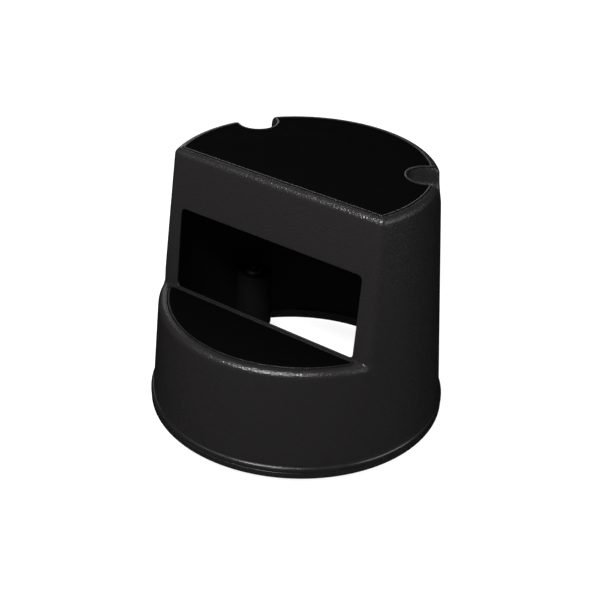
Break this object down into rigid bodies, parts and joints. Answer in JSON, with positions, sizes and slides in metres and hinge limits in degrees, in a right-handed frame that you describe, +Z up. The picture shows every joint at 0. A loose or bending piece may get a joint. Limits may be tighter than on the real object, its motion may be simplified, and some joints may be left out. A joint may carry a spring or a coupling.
{
  "type": "rolling step stool",
  "caption": "Two-step round rolling stool: tapered black plastic shell, rubber treads and base ring, sprung retracting swivel casters.",
  "frame": {"origin": "on the floor, below the centre of the round base", "axes": "+Z up; the lower step faces -Y; +X to the right when seen from the front"},
  "size_m": [0.4129, 0.413, 0.356],
  "materials": {
    "shell_plastic": "moulded, fine pebble grain",
    "ring_rubber": "satin rubber",
    "tread_rubber": "matt rubber",
    "nylon": "black nylon",
    "spring_steel": "drawn spring wire",
    "zinc_plate": "zinc plated pressing",
    "bright_steel": "turned, bright",
    "black_steel": "phosphated",
    "ball_steel": "polished",
    "wheel_plastic": "moulded nylon",
    "wheel_tyre": "grey-black polyurethane"
  },
  "bodies": {
    "stool": {"body_shell": "shell_plastic", "base_ring": "ring_rubber", "upper_tread": "tread_rubber", "lower_tread": "tread_rubber", "front_guide_bushing": "nylon", "front_spring": "spring_steel", "rear_left_guide_bushing": "nylon", "rear_left_spring": "spring_steel", "rear_right_guide_bushing": "nylon", "rear_right_spring": "spring_steel"},
    "front_plunger": {"front_stem": "bright_steel", "front_spring_seat": "zinc_plate", "front_stop_washer": "zinc_plate", "front_retaining_clip": "black_steel", "front_bearing_race": "zinc_plate"},
    "front_swivel": {"front_fork": "zinc_plate", "front_axle": "bright_steel", "front_bearing_balls": "ball_steel"},
    "front_wheel": {"front_wheel_hub": "wheel_plastic", "front_tyre": "wheel_tyre"},
    "rear_left_plunger": {"rear_left_stem": "bright_steel", "rear_left_spring_seat": "zinc_plate", "rear_left_stop_washer": "zinc_plate", "rear_left_retaining_clip": "black_steel", "rear_left_bearing_race": "zinc_plate"},
    "rear_left_swivel": {"rear_left_fork": "zinc_plate", "rear_left_axle": "bright_steel", "rear_left_bearing_balls": "ball_steel"},
    "rear_left_wheel": {"rear_left_wheel_hub": "wheel_plastic", "rear_left_tyre": "wheel_tyre"},
    "rear_right_plunger": {"rear_right_stem": "bright_steel", "rear_right_spring_seat": "zinc_plate", "rear_right_stop_washer": "zinc_plate", "rear_right_retaining_clip": "black_steel", "rear_right_bearing_race": "zinc_plate"},
    "rear_right_swivel": {"rear_right_fork": "zinc_plate", "rear_right_axle": "bright_steel", "rear_right_bearing_balls": "ball_steel"},
    "rear_right_wheel": {"rear_right_wheel_hub": "wheel_plastic", "rear_right_tyre": "wheel_tyre"}
  },
  "joints": [
    {"name": "front_retract", "type": "slide", "parent": "stool", "child": "front_plunger", "axis": [0, 0, 1], "range_m": [0, 0.006], "stiffness_N_per_m": 1500, "springref_m": -0.02, "deforming": ["front_spring"]},
    {"name": "front_swivel_turn", "type": "hinge", "parent": "front_plunger", "child": "front_swivel", "pos_m": [0, -0.168, 0.036], "axis": [0, 0, 1], "continuous": true},
    {"name": "front_wheel_spin", "type": "hinge", "parent": "front_swivel", "child": "front_wheel", "pos_m": [0, -0.161, 0.015], "axis": [1, 0, 0], "continuous": true},
    {"name": "rear_left_retract", "type": "slide", "parent": "stool", "child": "rear_left_plunger", "axis": [0, 0, 1], "range_m": [0, 0.006], "stiffness_N_per_m": 1500, "springref_m": -0.02, "deforming": ["rear_left_spring"]},
    {"name": "rear_left_swivel_turn", "type": "hinge", "parent": "rear_left_plunger", "child": "rear_left_swivel", "pos_m": [-0.14549, 0.084, 0.036], "axis": [0, 0, 1], "continuous": true},
    {"name": "rear_left_wheel_spin", "type": "hinge", "parent": "rear_left_swivel", "child": "rear_left_wheel", "pos_m": [-0.14549, 0.091, 0.015], "axis": [1, 0, 0], "continuous": true},
    {"name": "rear_right_retract", "type": "slide", "parent": "stool", "child": "rear_right_plunger", "axis": [0, 0, 1], "range_m": [0, 0.006], "stiffness_N_per_m": 1500, "springref_m": -0.02, "deforming": ["rear_right_spring"]},
    {"name": "rear_right_swivel_turn", "type": "hinge", "parent": "rear_right_plunger", "child": "rear_right_swivel", "pos_m": [0.14549, 0.084, 0.036], "axis": [0, 0, 1], "continuous": true},
    {"name": "rear_right_wheel_spin", "type": "hinge", "parent": "rear_right_swivel", "child": "rear_right_wheel", "pos_m": [0.14549, 0.091, 0.015], "axis": [1, 0, 0], "continuous": true}
  ]
}
